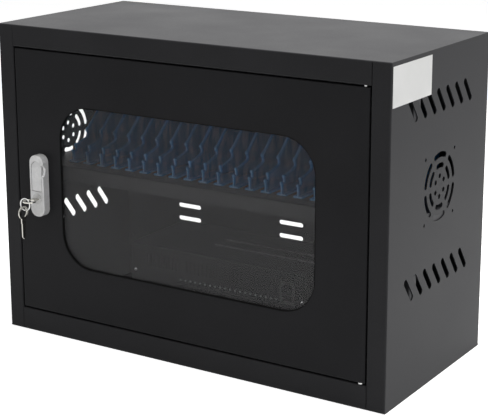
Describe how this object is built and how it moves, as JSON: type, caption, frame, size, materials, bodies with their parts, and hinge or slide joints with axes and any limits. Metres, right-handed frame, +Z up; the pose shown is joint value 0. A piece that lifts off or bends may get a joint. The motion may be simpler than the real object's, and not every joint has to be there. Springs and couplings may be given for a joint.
{
  "type": "device charging cabinet",
  "caption": "Sheet steel charging cabinet: a lockable inset door with a rounded window, a shelf of upright dividers for tablets, a charger below and fan grilles in the sides.",
  "frame": {"origin": "centre of the base, on the underside of the bottom panel", "axes": "+X to the viewer's right along the width, +Y from the door to the back, +Z up"},
  "size_m": [0.5902, 0.3141, 0.428],
  "materials": {
    "cabinet_paint": "fine matt powder coat, black",
    "door_paint": "fine matt powder coat, black",
    "charger_paint": "satin black paint",
    "zinc_steel": "zinc plated, satin",
    "pin_steel": "bright",
    "ring_steel": "bright",
    "lock_chrome": "satin chrome on zinc die casting",
    "plug_metal": "satin",
    "key_metal": "nickel plated",
    "divider_plastic": "moulded, dark blue",
    "black_rubber": "matt",
    "black_plastic": "fine texture",
    "switch_plastic": "semi gloss",
    "lamp_lens": "clear lens",
    "socket_metal": "tinned",
    "circuit_board": "green board",
    "supply_case": "closed case",
    "label_film": "blank white film",
    "clear_pane": "clear"
  },
  "bodies": {
    "cabinet": {"left_side_panel": "cabinet_paint", "right_side_panel": "cabinet_paint", "top_panel": "cabinet_paint", "bottom_panel": "cabinet_paint", "back_panel": "cabinet_paint", "back_rivets": "cabinet_paint", "cable_grommet": "black_rubber", "left_upright": "cabinet_paint", "right_upright": "cabinet_paint", "device_shelf": "cabinet_paint", "shelf_nuts": "zinc_steel", "charger_tray": "charger_paint", "charger_cover": "charger_paint", "charger_screws": "zinc_steel", "charge_lamps": "lamp_lens", "charging_sockets": "socket_metal", "socket_board": "circuit_board", "power_supply": "supply_case", "power_inlet": "black_plastic", "switch_frame": "black_plastic", "rating_label": "label_film", "divider_01": "divider_plastic", "divider_02": "divider_plastic", "divider_03": "divider_plastic", "divider_04": "divider_plastic", "divider_05": "divider_plastic", "divider_06": "divider_plastic", "divider_07": "divider_plastic", "divider_08": "divider_plastic", "divider_09": "divider_plastic", "divider_10": "divider_plastic", "divider_11": "divider_plastic", "divider_12": "divider_plastic", "divider_13": "divider_plastic", "divider_14": "divider_plastic", "divider_15": "divider_plastic", "divider_16": "divider_plastic", "divider_17": "divider_plastic", "divider_18": "divider_plastic", "divider_19": "divider_plastic", "divider_20": "divider_plastic", "divider_21": "divider_plastic"},
    "door": {"door_panel": "door_paint", "window_gasket": "black_rubber", "window_pane": "clear_pane", "pane_clips": "zinc_steel", "pane_nuts": "zinc_steel", "hinge_pins": "pin_steel", "lock_housing": "lock_chrome", "lock_nut": "zinc_steel"},
    "key_and_cam": {"key_plug": "plug_metal", "latch_cam": "zinc_steel", "cam_screw": "zinc_steel", "key": "key_metal"},
    "pull": {"pull_lever": "lock_chrome"},
    "ring": {"key_ring": "ring_steel"},
    "hanging_key": {"spare_key": "key_metal"},
    "rocker": {"switch_rocker": "switch_plastic"}
  },
  "joints": [
    {"name": "door_open", "type": "hinge", "parent": "cabinet", "child": "door", "pos_m": [0.2599, -0.1335, 0.2151], "axis": [0, 0, 1], "range_deg": [0, 110]},
    {"name": "key_turn", "type": "hinge", "parent": "door", "child": "key_and_cam", "pos_m": [-0.2285, -0.1385, 0.19625], "axis": [0, 1, 0], "range_deg": [0, 90]},
    {"name": "pull_tilt", "type": "hinge", "parent": "door", "child": "pull", "pos_m": [-0.2285, -0.1475, 0.21175], "axis": [1, 0, 0], "range_deg": [0, 40], "stiffness_Nm_per_rad": 0.05},
    {"name": "ring_hang", "type": "hinge", "parent": "key_and_cam", "child": "ring", "pos_m": [-0.23635, -0.1657, 0.19625], "axis": [0, 1, 0], "range_deg": [-90, 0]},
    {"name": "spare_swing", "type": "hinge", "parent": "ring", "child": "hanging_key", "pos_m": [-0.24035, -0.1657, 0.18388], "axis": [1, 0, 0], "range_deg": [-30, 15]},
    {"name": "switch_rock", "type": "hinge", "parent": "cabinet", "child": "rocker", "pos_m": [0.1115, -0.0555, 0.0975], "axis": [-1, 0, 0], "range_deg": [0, 16]}
  ],
  "couplings": [
    {"joint": "ring_hang", "follows": "key_turn", "ratio": -1}
  ]
}
